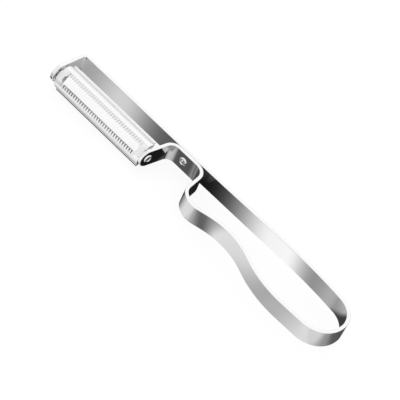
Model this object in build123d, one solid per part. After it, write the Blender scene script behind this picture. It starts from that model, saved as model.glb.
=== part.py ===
"""Vegetable peeler with a swivelling two-sided blade.

One flat strip of steel is bent on edge into the whole frame. It starts at the far arm, runs along
the straight spine, turns round the end of the handle, comes back as a finger wave, climbs to the
spine in an S-bend, lies against it at the lap and ends as the near arm. A hollow rivet closes the
lap. Two more hollow rivets carry the blade between the arms. The blade is made of two pressed
shells: the julienne shell on top, with a comb along both sides of its slot, and the peeling shell
under it, with two sharpened lips.

Lengths are in millimetres. While it is drawn, X runs along the spine from the far arm to the handle,
Y points from the blade to the spine and Z is up across the strip. Zero is the corner between the
inner faces of the far arm and the spine, at the strip's lower edge. At the end every piece is moved
so that the origin is the middle of the whole peeler's box, at its lowest level.
"""
import os
from math import cos, radians, sin, tan

from build123d import *

# Strip
strip_width = 10.0
strip_thickness = 1.8
edge_round = 0.25
lap_gap = 0.1

# Head of the frame
near_arm_at = 65.2
near_arm_lean_degrees = 7.4
arm_reach = 16.0
far_corner_radius = 2.2
near_corner_radius = 4.9

# Handle: steps along X between the corners of the line along the middle of the strip
lap_length = 22.2
spine_bend_step = 14.3
spine_bend_degrees = 0.8
spine_bend_radius = 400.0
hook_step = 2.7
heel_step = 7.7
crest_step = 23.1
belly_step = 28.8
loop_foot_step = 38.0
shoulder_step = 2.0
spine_end_step = 31.2

# Handle: how far its corners lie from the spine, or from each other
hook_depth = 18.3
heel_depth = 23.1
crest_depth = 15.7
belly_drop = 1.25
loop_height = 25.7
shoulder_drop = 3.16

# Share of the shorter run beside each corner of the handle that its bend takes up
spine_end_share = 0.45
shoulder_share = 0.5
loop_foot_share = 0.462
belly_share = 0.44
crest_share = 0.635
heel_share = 0.475
hook_share = 0.375
lap_end_share = 0.335

# Rivets
rivet_bore_radius = 1.1
rivet_wall = 0.4
rivet_head_lip = 0.75
rivet_tail_lip = 0.4
rivet_roll_share = 0.95
rivet_fit = 0.02
lap_rivet_share = 0.405

# Swivel
blade_tilt_degrees = 51.5
blade_end_gap = 0.4
pivot_fit = 0.02
pivot_end_play = 0.1

# Julienne shell, across its outer face
sheet = 0.5
tail_clearance = 0.4
flat_half_width = 2.35
comb_face = 2.65
comb_face_degrees = 20.0
shoulder_face = 2.9
shoulder_face_degrees = 62.0
skirt_face = 3.2
skirt_face_degrees = 78.0
flat_fold_radius = 0.8
comb_fold_radius = 2.2
skirt_fold_radius = 5.0
ear_bend_radius = 0.7
ear_root = 0.25
ear_side_gap = 0.15
skirt_corner_radius = 2.5

# Long slot and comb of the julienne shell
slot_end_margin = 3.6
tooth_pitch = 1.53
slit_width = 0.6
slit_length = 1.8
slit_mouth_width = 1.0
slit_mouth_depth = 0.5
comb_end_margin = 1.2

# Peeling shell
plate_end_margin = 1.0
plate_corner_radius = 1.0
rim_overhang = 0.25
rim_face = 0.75
rim_face_degrees = 50.0
rim_fold_radius = 0.6
rim_end_margin = 0.3
lip_fold_at = 4.9
lip_depth = 1.6
lip_half_gap = 2.9
lip_fold_radius = 0.9
lip_bevel = 0.6
lip_end_margin = 1.6
tongue_gap = 0.1

# Cuts run past the faces by this much
overrun = 1.0

# Share of the edge rounding by which an edge may miss a level and still count as lying on it
rim_slack_share = 0.1

os.makedirs("parts", exist_ok=True)

half_thickness = strip_thickness / 2
axis_height = strip_width / 2
tip_reach = arm_reach + strip_width / 2
lap_line = -lap_gap - half_thickness
near_lean = radians(near_arm_lean_degrees)
lap_rivet_at = near_arm_at + lap_rivet_share * lap_length

rivet_radius = rivet_bore_radius + rivet_wall
rivet_head_radius = rivet_radius + rivet_head_lip
rivet_tail_radius = rivet_radius + rivet_tail_lip

ear_stack = 2 * sheet + tongue_gap
ear_hole_radius = rivet_radius / cos(near_lean) + ear_stack / 2 * tan(near_lean) + pivot_fit
tail_play = pivot_end_play + rivet_tail_radius * tan(near_lean)
shell_top = rivet_tail_radius + tail_clearance + sheet


def side_step(start, end, distance):
    """Step to the left of a straight run."""
    way = (end - start).normalized()
    return Vector(-way.Y, way.X) * distance


def side_corner(before, here, after, distance):
    """Place of a path's corner once both of its runs are moved to their left."""
    first, second = side_step(before, here, 1), side_step(here, after, 1)
    mitre = first + second
    return here + mitre * (distance / mitre.dot(second))


def turn_sign(before, here, after):
    """1 where the path turns left at a corner, -1 where it turns right."""
    return 1 if side_step(before, here, 1).dot(after - here) > 0 else -1


def side_line(corners, radii, distance):
    """A rounded path moved to its left by a distance; the radii are those of the path itself."""
    moved = [corners[0] + side_step(corners[0], corners[1], distance)]
    rounds = []
    for before, here, after, radius in zip(corners, corners[1:], corners[2:], radii):
        moved.append(side_corner(before, here, after, distance))
        rounds.append(radius - turn_sign(before, here, after) * distance)
    moved.append(corners[-1] + side_step(corners[-2], corners[-1], distance))
    return FilletPolyline(*moved, radius=rounds)


def bent_section(corners, radii, left, right, right_corners=None):
    """Face between two lines that run beside a rounded path, as a bent strip shows on its edge."""
    first = side_line(corners, radii, left)
    second = side_line(right_corners or corners, radii, right)
    closing = [Line(first @ 0, second @ 0), Line(first @ 1, second @ 1)]
    return make_face(first.edges() + second.edges() + closing[0].edges() + closing[1].edges())


def bar(radius, centre, direction, length):
    """Round bar by its middle point and the way that it runs."""
    return extrude(Plane(origin=centre, z_dir=direction) * Circle(radius), amount=length / 2, both=True)


def share_radius(before, here, after, share):
    """Radius of a bend that takes up a share of the shorter of the two runs beside its corner."""
    first, second = here - before, after - here
    half_turn = radians(first.get_angle(second)) / 2
    return share * min(first.length, second.length) / tan(half_turn)


def strip_path():
    """Corners and bend radii along the middle of the strip, from the far arm's tip to the near one's."""
    spine_bend_at = near_arm_at + spine_bend_step
    lap_end_at = near_arm_at + lap_length
    hook_at = lap_end_at + hook_step
    heel_at = hook_at + heel_step
    crest_at = heel_at + crest_step
    belly_at = crest_at + belly_step
    loop_foot_at = belly_at + loop_foot_step
    shoulder_at = loop_foot_at + shoulder_step
    spine_end_at = shoulder_at - spine_end_step
    spine_end_y = half_thickness + (spine_end_at - spine_bend_at) * tan(radians(spine_bend_degrees))
    shoulder_y = spine_end_y - shoulder_drop
    loop_foot_y = shoulder_y - loop_height
    corners = [
        Vector(-half_thickness, -tip_reach),
        Vector(-half_thickness, half_thickness),
        Vector(spine_bend_at, half_thickness),
        Vector(spine_end_at, spine_end_y),
        Vector(shoulder_at, shoulder_y),
        Vector(loop_foot_at, loop_foot_y),
        Vector(belly_at, loop_foot_y - belly_drop),
        Vector(crest_at, -crest_depth),
        Vector(heel_at, -heel_depth),
        Vector(hook_at, -hook_depth),
        Vector(lap_end_at, lap_line),
        Vector(near_arm_at, lap_line),
        Vector(near_arm_x(-tip_reach), -tip_reach),
    ]
    handle_shares = [
        spine_end_share,
        shoulder_share,
        loop_foot_share,
        belly_share,
        crest_share,
        heel_share,
        hook_share,
        lap_end_share,
    ]
    handle = corners[2:-2]
    radii = [share_radius(*bend) for bend in zip(handle, handle[1:], corners[4:-1], handle_shares)]
    return corners, [far_corner_radius, spine_bend_radius, *radii, near_corner_radius]


def near_arm_x(y):
    """Where the middle of the leaning near arm is at some depth below the spine."""
    return near_arm_at + (y - lap_line) * tan(near_lean)


near_arm_middle_x = near_arm_x(-arm_reach)
near_arm_outward = (cos(near_lean), -sin(near_lean), 0)
near_tip_inner_x = near_arm_x(-tip_reach) - half_thickness / cos(near_lean)
shell_start = blade_end_gap
shell_end = near_tip_inner_x - blade_end_gap
shell_length = shell_end - shell_start
shell_middle_x = (shell_start + shell_end) / 2


def back_middle():
    """Middle of the spine's flat back, between the slight bend beside the lap and the loop."""
    back = side_line(*strip_path(), half_thickness).edges()
    straight = [edge for edge in back if edge.geom_type == GeomType.LINE and edge.center().X > lap_rivet_at]
    return max(straight, key=lambda edge: edge.center().Y) @ 0.5 + Vector(0, 0, axis_height)


def arm_tip_waste(middle_x, lean_degrees):
    """Block outside the half-round end of an arm."""
    side = strip_width + 2 * overrun
    across_arm = Plane(origin=(0, 0, 0), x_dir=(0, 0, 1), z_dir=(-1, 0, 0))
    waste = Pos(0, -side / 2) * Rectangle(side, side) - Circle(strip_width / 2)
    block = extrude(across_arm * waste, amount=half_thickness + overrun, both=True)
    return Pos(middle_x, -arm_reach, axis_height) * Rot(0, 0, -lean_degrees) * block


def is_rim(edge):
    """True for the long edges of the strip's two faces and for the round edges of its tips."""
    box = edge.bounding_box()
    touch = edge_round * rim_slack_share
    level = box.size.Z < touch and (box.min.Z < touch or box.max.Z > strip_width - touch)
    across = abs(edge.length - strip_thickness) < touch and edge.geom_type == GeomType.LINE
    tip = edge.geom_type == GeomType.CIRCLE and box.size.Z > strip_width / 2
    return (level and not across) or tip


def near_pivot_point(x):
    """Point of the near rivet's middle line: it is square to the leaning arm, and crosses the
    swivel axis in the middle of the blade's two ears."""
    crossing = shell_end - ear_stack / 2
    return (x, -arm_reach - (x - crossing) * tan(near_lean), axis_height)


def make_handle_strip():
    """The bent strip with half-round arm ends, eased edges and its rivet holes."""
    corners, radii = strip_path()
    strip = extrude(bent_section(corners, radii, half_thickness, -half_thickness), amount=strip_width)
    strip -= arm_tip_waste(-half_thickness, 0)
    strip -= arm_tip_waste(near_arm_middle_x, near_arm_lean_degrees)
    strip = fillet([edge for edge in strip.edges() if is_rim(edge)], edge_round)
    hole = rivet_radius + rivet_fit
    through = strip_thickness + 2 * overrun
    strip -= bar(hole, (-half_thickness, -arm_reach, axis_height), (1, 0, 0), through)
    strip -= bar(hole, near_pivot_point(near_arm_middle_x), near_arm_outward, through)
    strip -= bar(hole, (lap_rivet_at, -lap_gap / 2, axis_height), (0, 1, 0), through + through)
    return strip


def make_rivet(grip):
    """Hollow rivet on Z: the head's seat is at zero and the rolled tail's seat is one grip below."""
    head_half = (rivet_head_radius - rivet_bore_radius) / 2
    tail_half = (rivet_tail_radius - rivet_bore_radius) / 2
    head_top = (rivet_bore_radius + head_half, rivet_roll_share * head_half)
    tail_low = (rivet_bore_radius + tail_half, -grip - rivet_roll_share * tail_half)
    head = ThreePointArc((rivet_head_radius, 0), head_top, (rivet_bore_radius, 0))
    bore = Line((rivet_bore_radius, 0), (rivet_bore_radius, -grip))
    tail = ThreePointArc((rivet_bore_radius, -grip), tail_low, (rivet_tail_radius, -grip))
    shank = Polyline(
        (rivet_tail_radius, -grip), (rivet_radius, -grip), (rivet_radius, 0), (rivet_head_radius, 0)
    )
    section = make_face(head.edges() + bore.edges() + tail.edges() + shank.edges())
    return Rot(90, 0, 0) * revolve(section, axis=Axis.Y)


def make_lap_rivet():
    """Rivet through the lap, with its head on the doubled part of the strip."""
    grip = 2 * strip_thickness + lap_gap
    seat = Plane(origin=(lap_rivet_at, -lap_gap - strip_thickness, axis_height), z_dir=(0, -1, 0))
    return seat.location * make_rivet(grip)


def pivot_grip(seat_to_shell):
    """Length between a pivot rivet's two seats: up to the blade, through both ears, and the play."""
    return seat_to_shell + ear_stack + tail_play


def make_far_pivot_rivet():
    """Rivet through the far arm and the ears at the far end of the blade."""
    seat = Plane(origin=(-strip_thickness, -arm_reach, axis_height), z_dir=(-1, 0, 0))
    return seat.location * make_rivet(pivot_grip(strip_thickness + blade_end_gap))


def make_near_pivot_rivet():
    """Rivet through the near arm, square to it, and the ears at the near end of the blade."""
    middle = Vector(*near_pivot_point(near_arm_middle_x))
    outward = Vector(*near_arm_outward)
    seat = Plane(origin=middle + outward * near_seat_step(middle), z_dir=outward)
    return seat.location * make_rivet(pivot_grip((seat.origin.X - shell_end) / cos(near_lean)))


def near_seat_step(middle):
    """Distance along the near rivet from a point of its middle line to the arm's outer face."""
    arm_middle = Vector(near_arm_middle_x, -arm_reach, middle.Z)
    return half_thickness + (arm_middle - middle).dot(Vector(*near_arm_outward))


def shell_corners():
    """Corners of the julienne shell's outer face, from one skirt over the top to the other."""
    faces = [
        (comb_face, comb_face_degrees),
        (shoulder_face, shoulder_face_degrees),
        (skirt_face + sheet, skirt_face_degrees),
    ]
    right = [Vector(flat_half_width, shell_top)]
    for length, slope in faces:
        right.append(right[-1] + Vector(length, 0).rotate(Axis.Z, -slope))
    left = [Vector(-corner.X, corner.Y) for corner in reversed(right)]
    return left + right


def skirt_end():
    """Corner where the right skirt's outer face meets the seat between the two shells."""
    before, past = shell_corners()[-2:]
    return before + (past - before).normalized() * skirt_face


def bent_ear(end_x, inward, half_width, base_level, run):
    """Strip of sheet that runs outwards along a shell, bends over at the shell's end and carries
    the pivot hole in a half-round ear. Its outer face is at the end and at the base level."""
    side = 1 if base_level > 0 else -1
    path = [
        Vector(end_x + inward * run, base_level),
        Vector(end_x, base_level),
        Vector(end_x, -side * half_width),
    ]
    bend = bent_section(path, [ear_bend_radius], 0, inward * side * sheet)
    strip = extrude(Plane.XZ * bend, amount=half_width, both=True)
    block = 2 * (half_width + overrun)
    waste = Pos(0, -side * block / 2) * Rectangle(block, block) - Circle(half_width)
    return strip - Pos(end_x, 0, 0) * extrude(Plane.YZ * waste, amount=sheet + overrun, both=True)


def pivot_hole():
    """Bar that opens the pivot holes at both ends of a shell."""
    return bar(ear_hole_radius, (shell_middle_x, 0, 0), (1, 0, 0), shell_length + 2 * overrun)


def comb_slit():
    """Outline of one slit beside the long slot, with a mouth that points the teeth."""
    mouth, throat = slit_mouth_width / 2, slit_width / 2
    depth = slit_length * cos(radians(comb_face_degrees))
    half = [(mouth, -overrun), (mouth, 0), (throat, slit_mouth_depth), (throat, depth)]
    outline = half + [(-x, y) for x, y in reversed(half)]
    return make_face(Polyline(*outline, close=True).edges())


def skirt_corner_waste(end_x, inward):
    """Block outside the rounded lower corners of both skirts, at one end of the shell."""
    side = skirt_corner_radius + overrun
    corner = Pos(-inward * side / 2, -side / 2) * Rectangle(side, side) - Circle(skirt_corner_radius)
    middle = Pos(end_x + inward * skirt_corner_radius, 0, skirt_end().Y + skirt_corner_radius)
    return middle * extrude(Plane.XZ * corner, amount=skirt_end().X + overrun, both=True)


def make_julienne_shell():
    """Top shell: a bent-over section with an ear at each end, a long slot and a comb beside it.
    Its sides stop short of the far ear, and run up to the near one, where a notch frees the ear."""
    radii = [skirt_fold_radius, comb_fold_radius, flat_fold_radius]
    section = bent_section(shell_corners(), radii + radii[::-1], 0, -sheet)
    ear_step = ear_bend_radius + ear_root
    side_start = shell_start + ear_step
    shell = Pos(side_start, 0, 0) * extrude(Plane.YZ * section, amount=shell_end - side_start)
    shell -= skirt_corner_waste(side_start, 1) + skirt_corner_waste(shell_end, -1)
    slot_length = shell_length - 2 * slot_end_margin
    cuts = Sketch() + SlotOverall(slot_length, 2 * flat_half_width)
    gaps = int((slot_length - 2 * comb_end_margin) / tooth_pitch)
    for i in range(gaps + 1):
        slit = Pos((i - gaps / 2) * tooth_pitch, flat_half_width) * comb_slit()
        cuts += [slit, mirror(slit, about=Plane.XZ)]
    cuts += Pos(shell_length / 2) * Rectangle(2 * ear_step, 2 * (flat_half_width + ear_side_gap))
    top = Pos(shell_middle_x, 0, shell_top + overrun)
    comb_drop = comb_face * sin(radians(comb_face_degrees))
    shell -= top * extrude(cuts, amount=-(overrun + comb_drop + sheet))
    for end_x, inward in ((shell_start, 1), (shell_end, -1)):
        run = (ear_step + slot_end_margin) / 2
        shell += bent_ear(end_x, inward, flat_half_width, shell_top, run)
    seat = skirt_end()
    below = Pos(shell_middle_x, 0, seat.Y) * Rectangle(shell_length, 2 * (seat.X + overrun))
    shell -= extrude(below, amount=-(overrun + sheet))
    return shell - pivot_hole()


def make_peeling_shell():
    """Bottom shell: a flat plate under the skirts with turned-down rims, two sharpened lips beside
    its slot, and an ear at each end that stands inside the julienne shell's ear."""
    seat = skirt_end().Y
    rim_turn = radians(rim_face_degrees)
    rim_fold = Vector(-skirt_end().X - rim_overhang, seat)
    rim_tip = rim_fold - Vector(cos(rim_turn), sin(rim_turn)) * rim_face
    plate_half_width = -rim_fold.X - rim_fold_radius * tan(rim_turn / 2)
    plate_length = shell_length - 2 * plate_end_margin
    lip_length = plate_length - 2 * lip_end_margin
    blank = RectangleRounded(plate_length, 2 * plate_half_width, plate_corner_radius)
    window_half_width = lip_fold_at + lip_fold_radius
    window = Rectangle(lip_length + 2 * sheet, 2 * window_half_width)
    plate = Pos(shell_middle_x, 0, seat) * extrude(blank - window, amount=-sheet)
    beside_window = Vector(-window_half_width, seat)
    fold = Vector(-lip_fold_at, seat)
    edge = Vector(-lip_half_gap, seat - lip_depth)
    ground_edge = edge + (fold - edge).normalized() * lip_bevel
    rim = bent_section([rim_tip, rim_fold, beside_window], [rim_fold_radius], 0, -sheet)
    lip_path = [Vector(-plate_half_width, seat), fold]
    lip = bent_section([*lip_path, ground_edge], [lip_fold_radius], 0, -sheet, [*lip_path, edge])
    for section, length in ((rim, plate_length - 2 * rim_end_margin), (lip, lip_length)):
        side = Pos(shell_middle_x, 0, 0) * extrude(Plane.YZ * section, amount=length / 2, both=True)
        plate += [side, mirror(side, about=Plane.XZ)]
    inset = sheet + tongue_gap
    half_width = shell_top - inset
    run = plate_end_margin - inset + (lip_end_margin - sheet) / 2
    for end_x, inward in ((shell_start + inset, 1), (shell_end - inset, -1)):
        plate += bent_ear(end_x, inward, half_width, seat - sheet, run)
    return plate - pivot_hole()


on_swivel = Pos(0, -arm_reach, axis_height) * Rot(blade_tilt_degrees, 0, 0)
pieces = {
    "handle_strip": make_handle_strip(),
    "lap_rivet": make_lap_rivet(),
    "far_pivot_rivet": make_far_pivot_rivet(),
    "near_pivot_rivet": make_near_pivot_rivet(),
    "julienne_shell": on_swivel * make_julienne_shell(),
    "peeling_shell": on_swivel * make_peeling_shell(),
}

box = Compound([solid for piece in pieces.values() for solid in piece.solids()]).bounding_box()
to_origin = Pos(-(box.min.X + box.max.X) / 2, -(box.min.Y + box.max.Y) / 2, -box.min.Z)
for name, piece in pieces.items():
    moved = to_origin * piece
    export_step(moved, f"parts/{name}.step")
    print(name, len(moved.solids()), "solid", round(moved.volume, 2), "cubic mm")
print("whole box", [round(size, 3) for size in box.size])
places = {
    "swivel axis": Vector(0, -arm_reach, axis_height),
    "middle of the flat back": back_middle(),
    "drawing zero": Vector(0, 0, 0),
}
for name, place in places.items():
    print(name, [round(value, 4) for value in (to_origin * Pos(place)).position])
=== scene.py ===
# %% [markdown]
# # A vegetable peeler bent from one strip of steel
# The peeler is six pieces of steel: a long strip that is bent into the whole frame, three hollow
# rivets and the two pressed shells of the blade. Their shapes come from the CAD model, and this
# notebook gives them their finish, sets up a small photo studio round them and places the camera.
# Everything is in metres, in the CAD model's own frame.

from math import cos, radians, sin

import bmesh
import bpy
from mathutils import Matrix, Vector

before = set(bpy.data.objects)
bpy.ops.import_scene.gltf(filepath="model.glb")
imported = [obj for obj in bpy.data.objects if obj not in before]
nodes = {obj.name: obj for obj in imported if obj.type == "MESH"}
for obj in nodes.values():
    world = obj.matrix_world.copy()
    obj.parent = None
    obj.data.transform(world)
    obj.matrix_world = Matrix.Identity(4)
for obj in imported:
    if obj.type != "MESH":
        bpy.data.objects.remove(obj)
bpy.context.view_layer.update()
print("pieces from the CAD model:", sorted(nodes))

# %% [markdown]
# ## Places on the drawing
# The peeler was drawn from the inner corner of its head, in millimetres: X runs along the spine to
# the handle, Y from the blade to the spine and Z up across the strip. The studio is easier to set up
# in those numbers, so one helper moves a point of the drawing into the shared frame.

# %% Places on the drawing
MM = 0.001
HEAD_CORNER = Vector((-93.647, 12.928, 3.668))
STRIP_WIDTH = 10.0
AXIS_DEPTH = 16.0
BLADE_TILT = radians(51.5)


def place(x, y, z=0.0):
    """A point of the drawing in the shared frame, in metres."""
    return (HEAD_CORNER + Vector((x, y, z))) * MM


swivel_axis = place(0, -AXIS_DEPTH, STRIP_WIDTH / 2)
print("swivel axis goes through", tuple(round(v, 5) for v in swivel_axis))

# %% [markdown]
# ## The camera
# The photograph looks down on the peeler from the front right, with a long lens. Its distance and
# roll follow from the strip's parallel edges, which fix the vanishing points. A look-at turn and one
# roll about the line of sight are easier to read than three angles.

# %% The camera
CAMERA_PLACE = Vector((0.24991, -0.50397, 0.54421))
CAMERA_AIM = Vector((0.00269, 0.00065, 0.00867))
CAMERA_ROLL = radians(25.081)
SENSOR = 36.0
FOCAL_SHARE = 4.11175
CLIP_START, CLIP_END = 0.05, 20

camera_data = bpy.data.cameras.new("photo_camera")
camera_data.sensor_width = SENSOR
camera_data.lens = SENSOR * FOCAL_SHARE
camera_data.clip_start = CLIP_START
camera_data.clip_end = CLIP_END
camera = bpy.data.objects.new("photo_camera", camera_data)
bpy.context.scene.collection.objects.link(camera)
sight = CAMERA_AIM - CAMERA_PLACE
camera.matrix_world = (
    Matrix.Translation(CAMERA_PLACE)
    @ sight.to_track_quat("-Z", "Y").to_matrix().to_4x4()
    @ Matrix.Rotation(CAMERA_ROLL, 4, "Z")
)
bpy.context.scene.camera = camera
print("camera is", round(sight.length, 3), "m away, lens", round(camera_data.lens, 1), "mm")

# %% [markdown]
# ## A few words for node trees
# A node material is a small graph. These helpers add one node, set its values and wire its inputs in
# a single line, so that each material below reads like a list of what it does.

# %% Helpers for node trees
GAMMA = 2.2


def add(tree, kind, inputs=None, **settings):
    """Adds a node. An input is a value, or another node's output to wire in."""
    made = tree.nodes.new("ShaderNode" + kind)
    for name, value in settings.items():
        setattr(made, name, value)
    for name, value in (inputs or {}).items():
        if isinstance(value, bpy.types.NodeSocket):
            tree.links.new(value, made.inputs[name])
        else:
            made.inputs[name].default_value = value
    return made


def calculate(tree, operation, first, second=0.0):
    """One Math node's result."""
    return add(tree, "Math", {0: first, 1: second}, operation=operation).outputs[0]


def soft_step(tree, value, start, end, low=0.0, high=1.0):
    """Goes smoothly from low to high while the value goes from start to end."""
    inputs = {"Value": value, "From Min": start, "From Max": end, "To Min": low, "To Max": high}
    return add(tree, "MapRange", inputs, interpolation_type="SMOOTHSTEP").outputs["Result"]


def bands(tree, value, stops):
    """Levels that ease from one to the next along a value: stops are (value, level)."""
    first, last = stops[0][0], stops[-1][0]
    share = add(tree, "MapRange", {"Value": value, "From Min": first, "From Max": last})
    ramp = add(tree, "ValToRGB", {"Fac": share.outputs["Result"]})
    ramp.color_ramp.interpolation = "EASE"
    elements = ramp.color_ramp.elements
    while len(elements) < len(stops):
        elements.new(0.5)
    for element, (at, level) in zip(elements, stops):
        element.position = (at - first) / (last - first)
        element.color = (level, level, level, 1)
    return ramp.outputs["Color"]


def mix(tree, factor, first, second):
    """Goes from the first number to the second as the factor goes from 0 to 1."""
    inputs = {"Factor": factor, "A": first, "B": second}
    return add(tree, "Mix", inputs, data_type="FLOAT").outputs["Result"]


def product(tree, *shares):
    """Several shares multiplied together."""
    result = shares[0]
    for share in shares[1:]:
        result = calculate(tree, "MULTIPLY", result, share)
    return result


def within(tree, value, *edges):
    """How far a value is past all of its edges: an edge is (none of it, all of it)."""
    return product(tree, *(soft_step(tree, value, *edge) for edge in edges))


def mix_colours(tree, factor, first, second):
    """Goes from the first colour to the second as the factor goes from 0 to 1."""
    mixed = add(tree, "Mix", {"Factor": factor, "A": first, "B": second}, data_type="RGBA")
    return next(o for o in mixed.outputs if o.type == "RGBA")


def finish_steel(tree, output, colour, roughness, relief, strength, distance):
    """Ends a material as metal with a fine relief."""
    bump = add(tree, "Bump", {"Height": relief, "Strength": strength, "Distance": distance})
    inputs = {"Base Color": colour, "Metallic": 1.0, "Roughness": roughness}
    steel = add(tree, "BsdfPrincipled", {**inputs, "Normal": bump.outputs[0]})
    tree.links.new(steel.outputs[0], output.inputs["Surface"])


def fresh_material(name):
    """A material with an empty node tree and its output."""
    material = bpy.data.materials.new(name)
    material.use_nodes = True
    material.node_tree.nodes.clear()
    return material, material.node_tree, add(material.node_tree, "OutputMaterial")


# %% [markdown]
# ## The floor and its reflection card
# Polished steel has no shade of its own: it shows what it mirrors. The wide faces of the strip stand
# upright, and the camera looks down on them, so they mirror the floor close by. A photographer slides
# cards beside the steel to get soft dark and bright bands along it. Here the floor is plain white to
# the camera and takes the peeler's soft shadow, and mirrors see a card with soft bands instead.
#
# The card has a part for each group of faces. Slanted bands serve the inner faces of the frame and
# straight ones the outside of the handle, with a fan of them round the heel, where the wave of the
# handle starts. More bands lie beside the blade, with a painted contact shadow right under its lower
# edge, and past the end of the loop, and three round spots darken single places. Near the bend
# beside the near rivet the card is left open, and the tent's lower half shows there.

# %% The floor's bands
MIRROR_SLANT = 0.5
INSIDE_BANDS = (
    (1, 0.65),
    (28, 0.84),
    (62, 0.37),
    (70, 0.4),
    (77, 0.27),
    (84.5, 0.62),
    (86, 0.12),
    (88, 0.12),
    (134, 0.99),
    (144, 1.0),
    (161, 0.59),
    (172, 0.69),
    (186, 0.3),
)
OUTSIDE_BANDS = (
    (96, 0.88),
    (102, 0.65),
    (107.5, 0.39),
    (114, 0.9),
    (118, 0.88),
    (147, 0.68),
    (157, 0.71),
    (180, 0.88),
)
HEEL_MIDDLE = (95, -19)
HEEL_BANDS = (
    (-180, 0.6),
    (-160, 0.8),
    (-140, 0.88),
    (-95, 0.88),
    (-60, 0.65),
    (0, 0.65),
    (120, 0.3),
    (160, 0.35),
    (180, 0.6),
)
# Beside the blade the card goes dark right under its lower edge: a painted contact shadow, which the
# blade's lower rim mirrors.
BLADE_BANDS_AND_SHADOW = (
    (-60, 1.0),
    (-32, 0.97),
    (-24, 0.92),
    (-20.5, 0.88),
    (-18.7, 0.86),
    (-17.9, 0.0),
    (-14, 0.0),
)
END_BANDS = ((-30, 0.84), (-20, 0.58), (-11, 0.36), (-4, 0.33))
DARK_SPOTS = (
    ((4.2, -1.2), 3.4, 0.42),
    ((-5, -24), 3.8, 0.15),
    ((178, -1), 7.5, 0.25),
)
SPOT_CORE = 0.4

# Where the parts of the card lie. An edge is (none of it, all of it).
OUTSIDE_EDGE = (-15, -18)
HEEL_FAN_EDGE = (99, 95)
HEEL_SIDES = ((78, 80), (92, 90))
HEEL_FRONT = (-13.5, -15)
END_EDGE = (184, 187)
BLADE_SIDES = ((-9, -5), (70, 62))
BLADE_FRONT = (-14, -15.5)
BAY_SIDES = ((69, 72), (82, 79))
BAY_DEPTH = ((-19, -16), (4, 0))

FLOOR_WHITE = (0.94, 0.94, 0.94, 1)
FLOOR_GLOW = 1.06
GLOW_SHARE = 0.8


def along(tree, socket, zero):
    """A coordinate of the shared frame in the drawing's millimetres."""
    return calculate(tree, "SUBTRACT", calculate(tree, "DIVIDE", socket, MM), zero)


floor_material, tree, output = fresh_material("white_floor")
spot = add(tree, "SeparateXYZ", {"Vector": add(tree, "TexCoord").outputs["Object"]})
spot_x = along(tree, spot.outputs["X"], HEAD_CORNER.x)
spot_y = along(tree, spot.outputs["Y"], HEAD_CORNER.y)
on_drawing = add(tree, "CombineXYZ", {"X": spot_x, "Y": spot_y}).outputs["Vector"]
slanted = calculate(tree, "SUBTRACT", spot_x, calculate(tree, "MULTIPLY", spot_y, MIRROR_SLANT))

# The outside of the handle, with the fan round its heel.
heel_x = calculate(tree, "SUBTRACT", spot_x, HEEL_MIDDLE[0])
heel_y = calculate(tree, "SUBTRACT", spot_y, HEEL_MIDDLE[1])
heel_turn = calculate(tree, "DEGREES", calculate(tree, "ARCTAN2", heel_y, heel_x))
heel_level = bands(tree, heel_turn, HEEL_BANDS)
in_fan = soft_step(tree, spot_x, *HEEL_FAN_EDGE)
outside_level = mix(tree, in_fan, bands(tree, spot_x, OUTSIDE_BANDS), heel_level)
by_heel = product(tree, within(tree, spot_x, *HEEL_SIDES), soft_step(tree, spot_y, *HEEL_FRONT))
outside = calculate(tree, "MAXIMUM", soft_step(tree, spot_y, *OUTSIDE_EDGE), by_heel)
level = mix(tree, outside, bands(tree, slanted, INSIDE_BANDS), outside_level)

# The end of the loop, the blade's side with its painted contact shadow, and the dark spots.
beyond_end = soft_step(tree, spot_x, *END_EDGE)
level = mix(tree, beyond_end, level, bands(tree, spot_y, END_BANDS))
by_blade = product(tree, within(tree, spot_x, *BLADE_SIDES), soft_step(tree, spot_y, *BLADE_FRONT))
level = mix(tree, by_blade, level, bands(tree, spot_y, BLADE_BANDS_AND_SHADOW))
for spot_place, radius, spot_level in DARK_SPOTS:
    from_spot = add(tree, "VectorMath", {0: on_drawing, 1: (*spot_place, 0)}, operation="DISTANCE")
    inside_spot = soft_step(tree, from_spot.outputs["Value"], radius, SPOT_CORE * radius)
    level = mix(tree, inside_spot, level, spot_level)
card = add(tree, "Emission", {"Strength": calculate(tree, "POWER", level, GAMMA)})

# The open place near the bend.
bay = product(tree, within(tree, slanted, *BAY_SIDES), within(tree, spot_y, *BAY_DEPTH))
clear = add(tree, "BsdfTransparent")
mirrored = add(tree, "MixShader", {0: bay, 1: card.outputs[0], 2: clear.outputs[0]})

# Mirrors see the card, the camera a white floor, and everything else plain white paint.
path = add(tree, "LightPath")
white = add(tree, "BsdfDiffuse", {"Color": FLOOR_WHITE})
glow = add(tree, "Emission", {"Strength": FLOOR_GLOW})
seen = add(tree, "MixShader", {0: GLOW_SHARE, 1: white.outputs[0], 2: glow.outputs[0]})
by_mirror = path.outputs["Is Glossy Ray"]
not_seen = add(tree, "MixShader", {0: by_mirror, 1: white.outputs[0], 2: mirrored.outputs[0]})
by_camera = path.outputs["Is Camera Ray"]
both = add(tree, "MixShader", {0: by_camera, 1: not_seen.outputs[0], 2: seen.outputs[0]})
tree.links.new(both.outputs[0], output.inputs["Surface"])
print("floor card has", len(INSIDE_BANDS) + len(OUTSIDE_BANDS), "bands along the handle")

# %% [markdown]
# ## The floor itself
# One wide flat sheet just under the peeler, which is stage and not part of it.

# %% The floor itself
FLOOR_HALF_SIZE = 1.5
FLOOR_LEVEL = -0.0003

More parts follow.
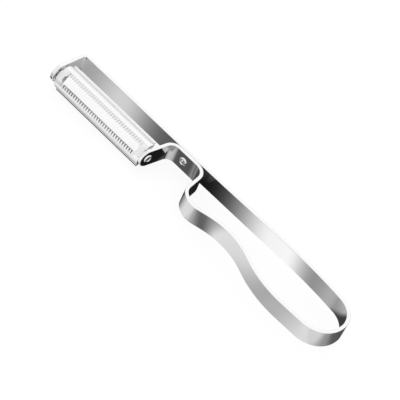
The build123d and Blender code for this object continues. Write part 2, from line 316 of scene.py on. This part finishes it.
floor_shape = bmesh.new()
bmesh.ops.create_grid(floor_shape, x_segments=1, y_segments=1, size=FLOOR_HALF_SIZE)
bmesh.ops.translate(floor_shape, verts=floor_shape.verts, vec=(0, 0, FLOOR_LEVEL))
floor_mesh = bpy.data.meshes.new("floor")
floor_shape.to_mesh(floor_mesh)
floor_shape.free()
floor_mesh.materials.append(floor_material)
floor = bpy.data.objects.new("floor", floor_mesh)
bpy.context.scene.collection.objects.link(floor)
print("floor is", 2 * FLOOR_HALF_SIZE, "m wide")

# %% [markdown]
# ## Studio light
# The world is a white tent. Its upper half lights everything softly and gives the rims of the strip
# their white. The lower half only shows where the floor's card is left open, at the bend beside the
# near rivet, and its bands go round by compass direction.

# %% The white tent
TENT_BANDS = (
    (-180, 0.3),
    (-165, 0.35),
    (-147, 0.6),
    (-118, 0.36),
    (-95, 0.7),
    (-68, 0.84),
    (-20, 0.87),
    (0, 0.78),
    (38, 0.14),
    (70, 0.12),
    (120, 0.2),
    (180, 0.3),
)
TENT_LIGHT = 1.12
TENT_SEEN = 1.0
HORIZON = (-0.1, 0.0)

world = bpy.data.worlds.new("white_tent")
bpy.context.scene.world = world
world.use_nodes = True
tree = world.node_tree
tree.nodes.clear()
way = add(tree, "SeparateXYZ", {"Vector": add(tree, "TexCoord").outputs["Generated"]})
turn = calculate(tree, "DEGREES", calculate(tree, "ARCTAN2", way.outputs["Y"], way.outputs["X"]))
below = calculate(tree, "POWER", bands(tree, turn, TENT_BANDS), GAMMA)
above_floor = soft_step(tree, way.outputs["Z"], *HORIZON)
path = add(tree, "LightPath")
strength = mix(tree, above_floor, below, TENT_LIGHT)
strength = mix(tree, path.outputs["Is Camera Ray"], strength, TENT_SEEN)
tent = add(tree, "Background", {"Strength": strength})
add(tree, "OutputWorld", {"Surface": tent.outputs[0]})
print("tent has", len(TENT_BANDS), "bands below")

# %% [markdown]
# ## The soft lamp
# One wide soft lamp from the upper left gives the floor's shadow a direction.

# %% The soft lamp
LAMP_PLACE = Vector((-0.35, 0.75, 0.8))
LAMP_SIZE = 1.0
LAMP_POWER = 0.35

lamp_data = bpy.data.lights.new("soft_lamp", "AREA")
lamp_data.shape = "DISK"
lamp_data.size = LAMP_SIZE
lamp_data.energy = LAMP_POWER
lamp = bpy.data.objects.new("soft_lamp", lamp_data)
lamp.matrix_world = (
    Matrix.Translation(LAMP_PLACE) @ (-LAMP_PLACE).to_track_quat("-Z", "Y").to_matrix().to_4x4()
)
bpy.context.scene.collection.objects.link(lamp)
print("lamp hangs", LAMP_PLACE.z, "m up")

# %% [markdown]
# ## Polished strip
# The strip is stainless steel that was ground along its length and then polished, so it is nearly a
# mirror with very fine lengthwise lines, a few handling scuffs, and rims that are worn a little
# duller. The lines are noise that changes fast across the strip and slowly along it.

# %% Polished strip
LINE_SPREAD = (0.3, 0.7)
LINE_RELIEF = 0.00002
STRIP_LINES = (40, 40, 5200)
STRIP_ROUGHNESS = (0.06, 0.11)
STRIP_BUMP = 0.03
SCUFF_SCALE = 900.0
SCUFF_SPREAD = (0.6, 0.75)
SCUFF_ROUGHNESS = 0.12
RIM_EDGE = (3.8 * MM, 4.9 * MM)
FLAT_WEAR, RIM_WEAR = 0.25, 1.0
CLEAN_STEEL = (0.93, 0.93, 0.94, 1)
WORN_STEEL = (0.84, 0.84, 0.85, 1)

strip_steel, tree, output = fresh_material("polished_strip")
here = add(tree, "TexCoord").outputs["Object"]
stretched = add(tree, "Mapping", {"Vector": here, "Scale": STRIP_LINES})
lines = add(tree, "TexNoise", {"Vector": stretched.outputs[0], "Scale": 1.0, "Detail": 4.0})
scuffs = add(tree, "TexNoise", {"Vector": here, "Scale": SCUFF_SCALE, "Detail": 3.0})
marks = soft_step(tree, scuffs.outputs["Fac"], *SCUFF_SPREAD)
height = add(tree, "SeparateXYZ", {"Vector": here}).outputs["Z"]
middle = calculate(tree, "SUBTRACT", height, (HEAD_CORNER.z + STRIP_WIDTH / 2) * MM)
rim = soft_step(tree, calculate(tree, "ABSOLUTE", middle), *RIM_EDGE)
wear = calculate(tree, "MULTIPLY", marks, mix(tree, rim, FLAT_WEAR, RIM_WEAR))
line_roughness = soft_step(tree, lines.outputs["Fac"], *LINE_SPREAD, *STRIP_ROUGHNESS)
wear_roughness = calculate(tree, "MULTIPLY", wear, SCUFF_ROUGHNESS)
roughness = calculate(tree, "ADD", line_roughness, wear_roughness)
colour = mix_colours(tree, wear, CLEAN_STEEL, WORN_STEEL)
finish_steel(tree, output, colour, roughness, lines.outputs["Fac"], STRIP_BUMP, LINE_RELIEF)
print("strip roughness goes from", *STRIP_ROUGHNESS)

# %% [markdown]
# ## Blade steel
# The shells are pressed from thin sheet and brushed along their length, so they mirror more softly
# than the strip. Some places have painted shade in their colour and are rougher: the walls of the
# comb's slits and a strip beside each slit, the inner faces over the lower plate, and the near rim,
# where a painted dark line stands in for the shade along the blade's lower edge. The far side and
# the flat ends by the ears are as light as the rest but rougher.

# %% Blade steel
TOOTH_PITCH = 1.53
SLIT_PHASE_X = 30.845
COMB_ENDS = ((3.6, 4.6), (58.2, 57.2))
COMB_ROW = ((2.2, 2.5), (4.6, 3.9))
SLIT_SIDE = (0.38, 0.24)
WALL_FACING = (0.4, 0.7)
INWARD_FACING = (-0.3, -1.2)
PLATE_LEVEL = (-3.75, -3.55)
ASIDE = (3.0, 4.5)
NEAR_RIM = (-6.95, -7.15)
FAR_SIDE = (5.2, 6.2)
EAR_REACH = (25.5, 27.5)
END_HALF_WIDTH = (3.4, 2.6)

# How much painted shade each place gets, and the dark colour it goes to.
SLIT_SIDE_SHADE_SHARE = 0.28
SLIT_WALL_SHADE_SHARE = 0.4
INNER_SHADE_SHARE = 0.25
NEAR_RIM_SHADE_SHARE = 0.95
BRIGHT_SHEET = (0.95, 0.95, 0.955, 1)
PAINTED_SHADE_SHEET = (0.22, 0.22, 0.23, 1)

BLADE_LINES = (60, 3000, 3000)
BLADE_ROUGHNESS = (0.15, 0.21)
FAR_ROUGHNESS = 0.4
PRESSED_ROUGHNESS = 0.5
DULL_ROUGHNESS = 0.45
BLADE_BUMP = 0.04

blade_steel, tree, output = fresh_material("brushed_blade")
coordinates = add(tree, "TexCoord")
here = coordinates.outputs["Object"]
facing = coordinates.outputs["Normal"]

# The blade's own directions: along it, across it and up from its flat.
centred = add(tree, "VectorMath", {0: here, 1: tuple(swivel_axis)}, operation="SUBTRACT").outputs[0]
along_blade = along(tree, add(tree, "SeparateXYZ", {"Vector": here}).outputs["X"], HEAD_CORNER.x)
across_way = (0, cos(BLADE_TILT) / MM, sin(BLADE_TILT) / MM)
sideways = add(tree, "VectorMath", {0: centred, 1: across_way}, operation="DOT_PRODUCT")
across = calculate(tree, "ABSOLUTE", sideways.outputs["Value"])
up_way = (0, -sin(BLADE_TILT) / MM, cos(BLADE_TILT) / MM)
up = add(tree, "VectorMath", {0: centred, 1: up_way}, operation="DOT_PRODUCT")

# The slits of the comb: painted shade on a strip beside each slit and on the slits' walls.
tooth = calculate(tree, "SUBTRACT", along_blade, SLIT_PHASE_X)
tooth = calculate(tree, "FRACT", calculate(tree, "DIVIDE", tooth, TOOTH_PITCH))
from_slit = calculate(tree, "ABSOLUTE", calculate(tree, "SUBTRACT", tooth, 0.5))
in_comb = within(tree, along_blade, *COMB_ENDS)
in_row = within(tree, across, *COMB_ROW)
painted_slit_side_shade = product(tree, soft_step(tree, from_slit, *SLIT_SIDE), in_row, in_comb)
facing_x = add(tree, "SeparateXYZ", {"Vector": facing}).outputs["X"]
painted_slit_wall_shade = soft_step(tree, calculate(tree, "ABSOLUTE", facing_x), *WALL_FACING)
painted_slit_wall_shade = product(tree, painted_slit_wall_shade, in_comb, SLIT_WALL_SHADE_SHARE)
shade_and_dullness = calculate(tree, "MAXIMUM", calculate(tree, "MULTIPLY", painted_slit_side_shade, SLIT_SIDE_SHADE_SHARE), painted_slit_wall_shade)

# The inner faces, which look back at the swivel axis, get painted shade, and the near rim a painted
# dark line.
outwards = add(tree, "VectorMath", {0: centred, 1: (0, 1 / MM, 1 / MM)}, operation="MULTIPLY")
outwards = add(tree, "VectorMath", {0: outwards.outputs[0], 1: facing}, operation="DOT_PRODUCT")
inner_face_shade = soft_step(tree, outwards.outputs["Value"], *INWARD_FACING)
over_plate = soft_step(tree, up.outputs["Value"], *PLATE_LEVEL)
inner_face_shade = product(tree, inner_face_shade, over_plate, soft_step(tree, across, *ASIDE), INNER_SHADE_SHARE)
shade_and_dullness = calculate(tree, "MAXIMUM", shade_and_dullness, inner_face_shade)
# A dark line is painted along the near rim, standing in for the shade under the blade's lower edge.
near_rim_shade = soft_step(tree, sideways.outputs["Value"], *NEAR_RIM)
shade_and_dullness = calculate(tree, "MAXIMUM", shade_and_dullness, calculate(tree, "MULTIPLY", near_rim_shade, NEAR_RIM_SHADE_SHARE))

# Brushed lines run along the blade, and three kinds of place are rougher.
turned = add(
    tree,
    "Mapping",
    {"Vector": centred, "Rotation": (-BLADE_TILT, 0, 0), "Scale": BLADE_LINES},
    vector_type="POINT",
)
lines = add(tree, "TexNoise", {"Vector": turned.outputs[0], "Scale": 1.0, "Detail": 3.0})
roughness = soft_step(tree, lines.outputs["Fac"], *LINE_SPREAD, *BLADE_ROUGHNESS)
far_side = soft_step(tree, sideways.outputs["Value"], *FAR_SIDE)
roughness = mix(tree, far_side, roughness, FAR_ROUGHNESS)
from_middle = calculate(tree, "ABSOLUTE", calculate(tree, "SUBTRACT", along_blade, SLIT_PHASE_X))
by_ears = soft_step(tree, from_middle, *EAR_REACH)
pressed = product(tree, by_ears, soft_step(tree, across, *END_HALF_WIDTH))
roughness = mix(tree, pressed, roughness, PRESSED_ROUGHNESS)
roughness = mix(tree, shade_and_dullness, roughness, DULL_ROUGHNESS)
# The painted shade darkens the blade's colour towards the dark sheet.
colour = mix_colours(tree, shade_and_dullness, BRIGHT_SHEET, PAINTED_SHADE_SHEET)
finish_steel(tree, output, colour, roughness, lines.outputs["Fac"], BLADE_BUMP, LINE_RELIEF)
print("comb slits are", TOOTH_PITCH, "mm apart")

# %% [markdown]
# ## Rivet steel
# The hollow rivets are polished, with soft dimples from the tool that rolled their rims.

# %% Rivet steel
DIMPLE_SCALE = 1500.0
DIMPLE_SPREAD = (0.35, 0.65)
DIMPLE_BUMP = 0.12
DIMPLE_RELIEF = 0.00005
RIVET_ROUGHNESS = (0.08, 0.16)
RIVET_COLOUR = (0.9, 0.9, 0.92, 1)

rivet_steel, tree, output = fresh_material("polished_rivet")
here = add(tree, "TexCoord").outputs["Object"]
dimples = add(tree, "TexNoise", {"Vector": here, "Scale": DIMPLE_SCALE, "Detail": 2.0}).outputs["Fac"]
roughness = soft_step(tree, dimples, *DIMPLE_SPREAD, *RIVET_ROUGHNESS)
finish_steel(tree, output, RIVET_COLOUR, roughness, dimples, DIMPLE_BUMP, DIMPLE_RELIEF)
print("rivet roughness goes from", *RIVET_ROUGHNESS)

# %% [markdown]
# ## Finish the pieces
# Each piece of the CAD model gets its finish. No shape is changed.

# %% Finish the pieces
finishes = {
    "handle_strip": strip_steel,
    "lap_rivet": rivet_steel,
    "far_pivot_rivet": rivet_steel,
    "near_pivot_rivet": rivet_steel,
    "julienne_shell": blade_steel,
    "peeling_shell": blade_steel,
}
for name, material in finishes.items():
    piece = nodes[name]
    for holder in piece.material_slots:
        holder.material = material
    if not piece.material_slots:
        piece.data.materials.append(material)
    print(name, len(piece.data.polygons), "faces, finished in", material.name)

# %% [markdown]
# ## The look of the picture
# The plain standard view shows the levels as they are.

# %% The look of the picture
bpy.context.scene.view_settings.view_transform = "Standard"
